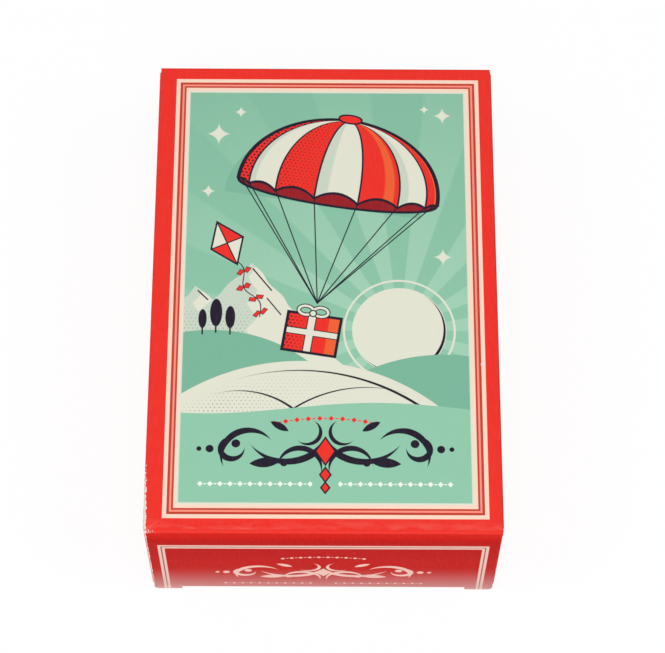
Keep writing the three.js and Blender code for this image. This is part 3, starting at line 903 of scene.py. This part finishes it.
class TOYCARTON_OT_ends(Builder, bpy.types.Operator):
    """Prints the lids, tuck flaps and dust flaps"""

    bl_idname = "toycarton.ends"
    bl_label = "Print the ends"

    def build(self, scene):
        inks, carton = scene.print_inks, scene.carton_finish
        tuck_face = box_mm("foot_tuck_flap")[0].z
        dust_face = box_mm("head_dust_flap_left")[1].y
        tuck_bleed = bleed_print(inks, lambda x, y: TUBE_END - abs(y))
        dust_bleed = bleed_print(inks, lambda x, y: WIDE - 0.8 - abs(x))
        lid = card(
            "Lid print",
            carton,
            lid_print(inks),
            lambda x, y, z: LONG - abs(y),
            bow=lid_bow,
            shine=0.01,
        )
        tuck = card("Tuck print", carton, tuck_bleed, lambda x, y, z: z - tuck_face, False)
        dust = card(
            "Dust flap print", carton, dust_bleed, lambda x, y, z: dust_face - abs(y), False
        )
        for end in ("foot", "head"):
            dress(f"{end}_lid", lid)
            dress(f"{end}_tuck_flap", tuck)
            for side in ("left", "right"):
                dress(f"{end}_dust_flap_{side}", dust)


class TOYCARTON_OT_creases(Builder, bpy.types.Operator):
    """Bends the board between the tube, the lids and the flaps"""

    bl_idname = "toycarton.creases"
    bl_label = "Bend the creases"

    lid_overlap = 0.2  # of a lid's crease past the lid, at each side
    tuck_half_width = 38.3  # where a tuck flap leaves its lid, between the ears
    dust_inset = 0.1  # of a dust flap's crease from the flap's edges

    def build(self, scene):
        carton = scene.carton_finish
        outer, inner = carton.crease_outer / MM, carton.crease_inner / MM
        materials = self.printed(scene.print_inks, carton), card("Crease board", carton)
        for end, side in (("foot", -1), ("head", 1)):
            out = Vector((0, side, 0))
            lid_high = box_mm(f"{end}_lid")[1]
            tuck_low = box_mm(f"{end}_tuck_flap")[0]
            creases = [
                (
                    f"{end}_lid_crease",
                    out * TUBE_END + UP * lid_high.z,
                    (UP, out),
                    Vector((lid_high.x + self.lid_overlap, 0, 0)),
                    ("carton", f"{end}_lid_body"),
                ),
                (
                    f"{end}_tuck_crease",
                    out * TUBE_END + UP * (tuck_low.z + outer),
                    (out, -UP),
                    Vector((self.tuck_half_width, 0, 0)),
                    (f"{end}_lid_body", f"{end}_tuck_body"),
                ),
            ]
            for hand, across in (("left", -1), ("right", 1)):
                node = f"{end}_dust_flap_{hand}"
                dust_low, dust_high = box_mm(node)
                beside = Vector((across, 0, 0))
                far = max(abs(dust_low.y), abs(dust_high.y)) - outer
                middle = UP * (dust_low.z + dust_high.z) / 2
                half_span = UP * ((dust_high.z - dust_low.z) / 2 - self.dust_inset)
                bodies = ("carton", f"{end}_dust_{hand}_body")
                centre = beside * (WIDE - outer) + out * far + middle
                creases.append((f"{node}_crease", centre, (beside, out), half_span, bodies))
            for name, centre, spokes, half_span, bodies in creases:
                self.bend(name, centre, spokes, half_span, (outer, inner), materials, bodies)

    @staticmethod
    def printed(inks, carton):
        spot, x, y, z = Paint("Crease print").object_mm()
        crack = speckle(spot, 2.2, 3.0, 0.7)
        knock = ramp(reach(x + WIDE, y + LONG), 5, 0.5) * ramp(z, TALL - 9, TALL)
        # Painted shade: the strip darkens towards the head end of the carton.
        colour = mix(ramp(y, LONG - 0.5, LONG) * 0.6, inks.red, shade(110, 14, 18))
        colour = mix(ramp(crack + knock * 0.3, 0.74, 0.8), colour, carton.core)
        height = crack * 0.4 + ramp(z, TALL - 0.8, TALL) * -10
        return x.paint.surface(colour, 0.42, height, 0.05, **{"Specular IOR Level": 0.12})

    @staticmethod
    def bend(name, centre, spokes, half_span, radii, materials, bodies):
        """A quarter round of board from the first spoke to the last."""
        turn_share = 0.42  # of the inner radius, to each side of the crease's middle
        first, last = spokes
        outer, inner = radii
        work = bmesh.new()
        ends = [work.verts.new(centre - half_span + first * r) for r in radii]
        bmesh.ops.spin(
            work,
            geom=[*ends, work.edges.new(ends)],
            axis=first.cross(last),
            cent=centre - half_span,
            dvec=(0, 0, 0),
            angle=math.pi / 2,
            steps=12,
            use_merge=False,
            use_duplicate=False,
        )
        grown = bmesh.ops.extrude_face_region(work, geom=work.faces[:])
        moved = [g for g in grown["geom"] if isinstance(g, bmesh.types.BMVert)]
        bmesh.ops.translate(work, verts=moved, vec=half_span * 2)
        bmesh.ops.recalc_face_normals(work, faces=work.faces[:])
        for face in work.faces:
            spoke = face.calc_center_median() - centre
            spoke -= half_span * (spoke.dot(half_span) / half_span.length_squared)
            outward = face.normal.dot(spoke.normalized()) > 0.9
            face.material_index = 0 if outward else 1
        to_metres(work)
        piece = new_piece(name, work, materials, smooth=False)
        lean = (last - first).normalized()
        middle = (centre + (first + last).normalized() * (inner + outer) / 2) * MM
        span = inner * turn_share * MM
        middle - lean * span
        middle + lean * span
        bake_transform(piece)


class TOYCARTON_OT_figure(Builder, bpy.types.Operator):
    """Rounds the moulded figure and gives it its plastic"""

    bl_idname = "toycarton.figure"
    bl_label = "Mould the figure"

    smoothing_passes = 2

    def build(self, scene):
        toy = scene.toy_finish
        work = bmesh.new()
        work.from_mesh(NODES["parachutist_figure"].data)
        bmesh.ops.remove_doubles(work, verts=work.verts[:], dist=0.001 * MM)
        piece = new_piece("moulded_figure", work, [])
        remesh = piece.modifiers.new("Surface", "REMESH")
        remesh.mode = "VOXEL"
        remesh.voxel_size = toy.voxel
        bpy.context.view_layer.update()
        fine = bmesh.new()
        fine.from_object(piece, bpy.context.evaluated_depsgraph_get())
        piece.modifiers.clear()
        axes = {"use_axis_x": True, "use_axis_y": True, "use_axis_z": True}
        for _ in range(self.smoothing_passes):
            bmesh.ops.smooth_vert(fine, verts=fine.verts[:], factor=0.5, **axes)
        fine.to_mesh(piece.data)
        fine.free()
        piece.data.materials.clear()
        piece.data.materials.append(self.plastic(toy, box_mm("parachutist_figure")[0].z))
        piece.data.shade_smooth()
        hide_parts("parachutist_figure")
        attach(piece, "toy")

    @staticmethod
    def plastic(toy, back):
        paint = Paint("Moulded plastic")
        spot, _, _, z = paint.object_mm()
        flow = speckle(spot, 0.06, 3.0, 0.55)
        colour = mix(ramp(flow, 0.35, 0.65) * 0.5, toy.red, shade(226, 58, 40))
        line = ink(abs(z - (back + toy.parting / MM)) - 0.12, 0.2)
        grain = speckle(spot, 4.0, 2.0, 0.5)
        glow = {"Subsurface Weight": 0.06, "Subsurface Scale": 2 * MM}
        height = line * 0.6 + grain * 0.12
        return paint.surface(colour, between(grain, 0.24, 0.4), height, 0.12, **glow)


def weave(u, v, pitch):
    """Height of a plain weave."""
    a, b = (sine(place * (math.pi / pitch)) for place in (u, v))
    return a * b * 0.5 + 0.5


def ripstop_material(name, cloth, hems=()):
    """Thin cloth with a square grid of thicker threads. hems are lines of stitches across v."""
    stitch_pitch, stitch_half_length = 2.4, 0.8
    paint = Paint(name)
    u, v = paint.cloth_mm()
    pitch = cloth.ripstop / MM
    grid = low(abs(wrap(u / pitch) - 0.5), abs(wrap(v / pitch) - 0.5)) * pitch
    cord = ink(grid - 0.1, 0.12)
    fine = weave(u, v, 0.34)
    cloud = ramp(speckle(paint.object_mm()[0], 0.09, 3.0, 0.6), 0.3, 0.7)
    colour = mix(cloud * 0.3, cloth.navy, shade(62, 60, 118))
    colour = mix(fine * 0.25, colour, shade(30, 28, 66))
    colour = mix(cord * 0.4, colour, shade(74, 72, 132))
    height = fine * 0.3 + cord * 0.7
    for place in hems:
        step = abs(wrap(u / stitch_pitch) - 0.5) * stitch_pitch
        stitch = ink(high(abs(v - place) - 0.13, step - stitch_half_length), 0.1)
        colour = mix(stitch, colour, cloth.thread)
        height = height + stitch
    rough = between(fine, 0.52, 0.68)
    return paint.surface(colour, rough, height, 0.05, **{"Sheen Weight": 0.25})


class TOYCARTON_OT_canopy(Builder, bpy.types.Operator):
    """Folds the thin canopy to and fro under the figure"""

    bl_idname = "toycarton.canopy"
    bl_label = "Fold the canopy"

    clearance = 0.05  # under the lowest ply and over the highest
    rows = 34  # along the canopy
    ply_steps, fold_steps = 12, 5  # across a ply, and round a fold
    hem_inset = 3.0
    end_zone = 4  # at each end, where the plies slip over each other
    largest_pull = 1.4  # of a fold's edge towards the middle

    def build(self, scene):
        cloth = scene.cloth_finish
        (left, foot, back), (right, head, front) = box_mm("canopy")
        thick = cloth.thickness / MM
        pitch = (front - back - thick - 2 * self.clearance) / (cloth.plies - 1)
        start = back + thick / 2 + self.clearance
        folds = self.zigzag(cloth.plies, left, right, start, pitch, thick)
        line = [(x, foot, z) for x, z in folds]
        work, along, _ = swept_line(line, Vector((0, head - foot, 0)), self.rows)
        middle = (left + right) / 2
        for vert in work.verts:
            x, y, z = vert.co
            tier = round((z - back) / pitch * 2) / 2
            edge = abs(x - middle) / (right - left) * 2
            pull = 1.1 * (0.5 + 0.5 * noise.noise((tier * 3.1, y * 0.02, x > middle)))
            pull += 0.35 * (0.5 + 0.5 * noise.noise((tier * 1.7, y * 0.12, 4.0)))
            vert.co.x -= math.copysign(min(pull, self.largest_pull) * edge**6, x - middle)
            dip = 0.5 + 0.5 * noise.noise((x * 0.05, y * 0.04, 1.5))
            vert.co.z = back + (z - back) * (1 - 0.07 * dip)
            slip = abs(noise.noise((tier * 2.3, 0.4, 7.0))) * 0.9
            if y > head - self.end_zone:
                vert.co.y -= slip
            elif y < foot + self.end_zone:
                vert.co.y += slip
        hems = (foot + self.hem_inset, head - self.hem_inset)
        material = ripstop_material("Canopy cloth", cloth, hems)
        piece = cloth_piece(
            "folded_canopy", work, lambda vert: (vert[along], vert.co.y), material, cloth.thickness
        )
        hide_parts("canopy")
        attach(piece, "toy")

    def zigzag(self, plies, left, right, start, pitch, thick):
        """Points to and fro across the plies, with a half round at each fold."""
        radius = pitch / 2
        inset = radius + thick / 2
        points = []
        for ply in range(plies):
            z = start + ply * pitch
            side = -1 if ply % 2 else 1
            near, far = (left + inset, right - inset)[::side]
            steps = self.ply_steps
            points += [(near + (far - near) * k / steps, z) for k in range(steps + 1)]
            if ply < plies - 1:
                for k in range(1, self.fold_steps):
                    turn = math.pi * k / self.fold_steps
                    out, rise = radius * math.sin(turn), radius * (1 - math.cos(turn))
                    points.append((far + side * out, z + rise))
        return points


class TOYCARTON_OT_bands(Builder, bpy.types.Operator):
    """Gathers the four bands from the canopy's edge into the strap"""

    bl_idname = "toycarton.bands"
    bl_label = "Gather the bands"

    across, forth = 24, 30  # steps in the cloth
    thickness = 0.2
    inset, depth_inset = 0.12, 0.14  # inside the packed band
    pleats = 3.5
    flat_width, flat_spacing = 10, 14  # on the cloth

    def build(self, scene):
        material = ripstop_material("Band cloth", scene.cloth_finish)
        for number in range(1, 5):
            self.band(material, f"band_{number}", number)

    def band(self, material, node, number):
        rows = self.rows(node)
        foot, head = rows[0][0], rows[-1][0]
        work = bmesh.new()
        bmesh.ops.create_grid(work, x_segments=self.across, y_segments=self.forth, size=0.5)
        along = work.verts.layers.float.new("along")
        for vert in work.verts:
            s, t = vert.co.x + 0.5, vert.co.y + 0.5
            y = foot + (head - foot) * t
            x0, x1, z0, z1 = self.at(rows, y)
            gather = min(max((t - 0.08) / 0.6, 0), 1)
            tall = (z1 - z0) / 2 - self.depth_inset
            wave = math.sin(s * math.pi * 2 * self.pleats + number) * tall * gather
            x = x0 + self.inset + (x1 - x0 - 2 * self.inset) * s
            vert[along] = s * self.flat_width + self.flat_spacing * number
            vert.co = (x, y, (z0 + z1) / 2 + wave)
        piece = cloth_piece(
            f"gathered_{node}",
            work,
            lambda vert: (vert[along], vert.co.y),
            material,
            self.thickness * MM,
        )
        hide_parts(node)
        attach(piece, "toy")

    @staticmethod
    def rows(node):
        """Extents of the packed band at each of its cross-sections, from the foot end on."""
        rings = {}
        for vert in NODES[node].data.vertices:
            x, y, z = vert.co / MM
            rings.setdefault(round(y, 2), []).append((x, z))
        rows = []
        for y in sorted(rings):
            xs, zs = zip(*rings[y])
            rows.append((y, min(xs), max(xs), min(zs), max(zs)))
        return rows

    @staticmethod
    def at(rows, y):
        """Extents of the packed band at one place along it."""
        for lower, upper in zip(rows, rows[1:]):
            if y <= upper[0] + 1e-6:
                share = (y - lower[0]) / max(upper[0] - lower[0], 1e-6)
                return [a + (b - a) * share for a, b in zip(lower[1:], upper[1:])]
        return rows[-1][1:]


class TOYCARTON_OT_strap(Builder, bpy.types.Operator):
    """Loops the webbing strap round the link's bar"""

    bl_idname = "toycarton.strap"
    bl_label = "Loop the strap"

    bar_radius = 1.7
    bar_depth = 2.8  # from the packed strap's front to the middle of the bar
    packed_ply = 0.8
    ply = 0.55  # from the strap's middle to the middle of either ply
    wrap_radius = 2.4
    columns = 10
    edge_round = 0.16

    def build(self, scene):
        cloth = scene.cloth_finish
        (left, tail, back), (right, far, front) = box_mm("riser_strap")
        bar = (box_mm("parachutist_figure")[1].y - self.bar_radius, front - self.bar_depth)
        middle = back + self.packed_ply / 2 + self.ply
        turn = (bar[1] - middle) / 2
        turn_y = far - self.packed_ply / 2 - self.ply - turn
        line = [(left, *point) for point in self.route(bar, turn_y, middle, turn, tail)]
        work, along, length = swept_line(line, Vector((right - left, 0, 0)), self.columns)
        piece = cloth_piece(
            "looped_strap",
            work,
            lambda vert: (vert.co.x, vert[along]),
            self.webbing(cloth, length),
            cloth.strap_thickness,
        )
        edge = piece.modifiers.new("Edge", "BEVEL")
        edge.width, edge.segments, edge.limit_method = self.edge_round * MM, 2, "ANGLE"
        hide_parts("riser_strap")
        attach(piece, "toy")

    def route(self, bar, turn_y, middle, turn, tail):
        """Tail, outer turn, once round the bar, inner turn and tail again, as (y, z)."""

        def arc(y, z, radius, start, end, steps):
            return [
                (y + radius * math.cos(a), z + radius * math.sin(a))
                for a in (start + (end - start) * k / steps for k in range(steps + 1))
            ]

        right = math.pi / 2
        turn_z = middle + turn
        gap = right - math.atan2(self.wrap_radius - self.ply, turn_y - bar[0])
        inner = arc(turn_y, turn_z, turn - self.ply, -right, right, 20)
        outer = arc(turn_y, turn_z, turn + self.ply, right, -right, 20)
        loop = arc(*bar, self.wrap_radius, gap - 2 * math.pi, -gap, 32)[::-1]
        return [(tail, middle + self.ply), *inner, *loop, *outer, (tail, middle - self.ply)]

    @staticmethod
    def webbing(cloth, length):
        """Ribbed webbing with a box and a cross of stitches near each end."""
        seam_place, seam_half_width, seam_half_length = 3.0, 2.0, 2.2
        paint = Paint("Strap webbing")
        u, v = paint.cloth_mm()
        rib = abs(wrap(v / 0.7 + wrap(u / 0.5) * 0.5) - 0.5) * 2
        colour = mix(rib * 0.5, cloth.webbing, shade(58, 52, 92))
        colour = mix(ramp(abs(u), 2.2, 2.7) * 0.5, colour, shade(24, 20, 44))
        w = low(v, length - v) - seam_place
        seam = slab(u, w, seam_half_width, seam_half_length)
        cross = high(abs(abs(u) * 1.1 - abs(w)) - 0.15, seam)
        dash = ramp(sine((u + v) * 6.0), -0.5, 0.0)
        stitch = ink(low(abs(seam) - 0.12, cross), 0.1) * dash
        colour = mix(stitch, colour, cloth.thread)
        height = rib * 0.8 + stitch * 0.8
        return paint.surface(colour, 0.72, height, 0.1, **{"Sheen Weight": 0.2})


class TOYCARTON_OT_stage(Builder, bpy.types.Operator):
    """Sets the floor, the lights and the camera"""

    bl_idname = "toycarton.stage"
    bl_label = "Set the stage"

    floor_size, floor_depth = 3, 0.0002
    camera_place = Vector((0.000245, -0.284719, 0.628193))
    floor_glow = 0.88  # how much of the floor that the camera sees is plain white

    def build(self, scene):
        stage = scene.stage_settings
        scene.view_settings.view_transform = "Standard"
        self.world(scene, stage)
        work = bmesh.new()
        bmesh.ops.create_grid(work, x_segments=1, y_segments=1, size=self.floor_size)
        bmesh.ops.translate(work, verts=work.verts[:], vec=(0, 0, -self.floor_depth))
        floor = new_piece("floor", work, [self.paper()], smooth=False)
        self.lamp("softbox", (0, -0.6, 1.38), 0.8, stage.key_power)
        self.lamp("front_softbox", (0, -1.15, 0.55), 0.5, stage.key_power * 0.145)
        for side in (-1, 1):
            self.lamp("side_softbox", (side * 0.85, -0.28, 1.2), 0.7, stage.key_power * 0.55)
        self.camera(scene, stage)

    @staticmethod
    def world(scene, stage):
        """Lights the room evenly, and shows as plain white."""
        scene.world = bpy.data.worlds.new("Room")
        paint = Paint("Room", scene.world)
        seen = high(
            *(
                paint.node("ShaderNodeLightPath", output=f"Is {kind} Ray")
                for kind in ("Camera", "Glossy", "Transmission")
            )
        )
        sockets = {"Color": (1, 1, 1, 1), "Strength": between(seen, stage.sky, 1.0)}
        background = paint.node("ShaderNodeBackground", sockets=sockets)
        paint.node("ShaderNodeOutputWorld", sockets={"Surface": background}, output=None)

    def paper(self):
        paint = Paint("White floor")
        path = paint.node("ShaderNodeLightPath", output="Is Camera Ray")
        sockets = {"Base Color": (0.9, 0.9, 0.9, 1), "Roughness": 0.9}
        matt = paint.node("ShaderNodeBsdfPrincipled", sockets=sockets)
        sockets = {"Color": (1, 1, 1, 1), "Strength": 1.02}
        glow = paint.node("ShaderNodeEmission", sockets=sockets)
        sockets = {0: path * self.floor_glow, 1: matt, 2: glow}
        shader = paint.node("ShaderNodeMixShader", sockets=sockets)
        paint.node("ShaderNodeOutputMaterial", sockets={"Surface": shader}, output=None)
        return paint.owner

    @staticmethod
    def lamp(name, place, size, power):
        """A round softbox that faces the carton."""
        data = bpy.data.lights.new(name, "AREA")
        data.shape, data.size, data.energy = "DISK", size, power
        lamp = bpy.data.objects.new(name, data)
        bpy.context.scene.collection.objects.link(lamp)
        lamp.location = place
        lamp.rotation_euler = (-Vector(place)).to_track_quat("-Z", "Y").to_euler()

    def camera(self, scene, stage):
        data = bpy.data.cameras.new("View")
        data.lens, data.sensor_width = stage.lens, 36
        data.clip_start, data.clip_end = 0.05, 20
        camera = bpy.data.objects.new("View", data)
        scene.collection.objects.link(camera)
        a, e, roll = stage.azimuth, stage.elevation, stage.roll
        back = Vector((math.sin(a) * math.cos(e), -math.cos(a) * math.cos(e), math.sin(e)))
        level = (-back).cross(UP).normalized()
        above = level.cross(-back)
        across = level * math.cos(roll) + above * math.sin(roll)
        up = above * math.cos(roll) - level * math.sin(roll)
        turn = Matrix((across, up, back)).transposed().to_4x4()
        camera.matrix_world = Matrix.Translation(self.camera_place) @ turn
        scene.camera = camera


class TOYCARTON_PT_pieces(bpy.types.Panel):
    bl_label = "Boxed toy parachutist"
    bl_idname = "TOYCARTON_PT_pieces"
    bl_space_type = "VIEW_3D"
    bl_region_type = "UI"
    bl_category = "Toy carton"

    def draw(self, context):
        for operator in OPERATORS:
            self.layout.operator(operator.bl_idname)
        for name in GROUPS:
            group = getattr(context.scene, name)
            column = self.layout.box()
            column.label(text=GROUPS[name].__doc__)
            for value in GROUPS[name].__annotations__:
                column.prop(group, value)


GROUPS = {
    "print_inks": PrintInks,
    "carton_finish": CartonFinish,
    "cloth_finish": ClothFinish,
    "toy_finish": ToyFinish,
    "stage_settings": StageSettings,
}
OPERATORS = (
    TOYCARTON_OT_stage,
    TOYCARTON_OT_panels,
    TOYCARTON_OT_ends,
    TOYCARTON_OT_creases,
    TOYCARTON_OT_figure,
    TOYCARTON_OT_canopy,
    TOYCARTON_OT_bands,
    TOYCARTON_OT_strap,
)


def register():
    for group in (*GROUPS.values(), *OPERATORS, TOYCARTON_PT_pieces):
        bpy.utils.register_class(group)
    for name, group in GROUPS.items():
        setattr(bpy.types.Scene, name, PointerProperty(type=group))


def unregister():
    for name in GROUPS:
        delattr(bpy.types.Scene, name)
    for group in reversed((*GROUPS.values(), *OPERATORS, TOYCARTON_PT_pieces)):
        bpy.utils.unregister_class(group)


def main():
    register()
    bpy.ops.toycarton.stage()
    bpy.ops.toycarton.panels()
    bpy.ops.toycarton.ends()
    bpy.ops.toycarton.creases()
    bpy.ops.toycarton.figure()
    bpy.ops.toycarton.canopy()
    bpy.ops.toycarton.bands()
    bpy.ops.toycarton.strap()


if __name__ == "__main__":
    main()
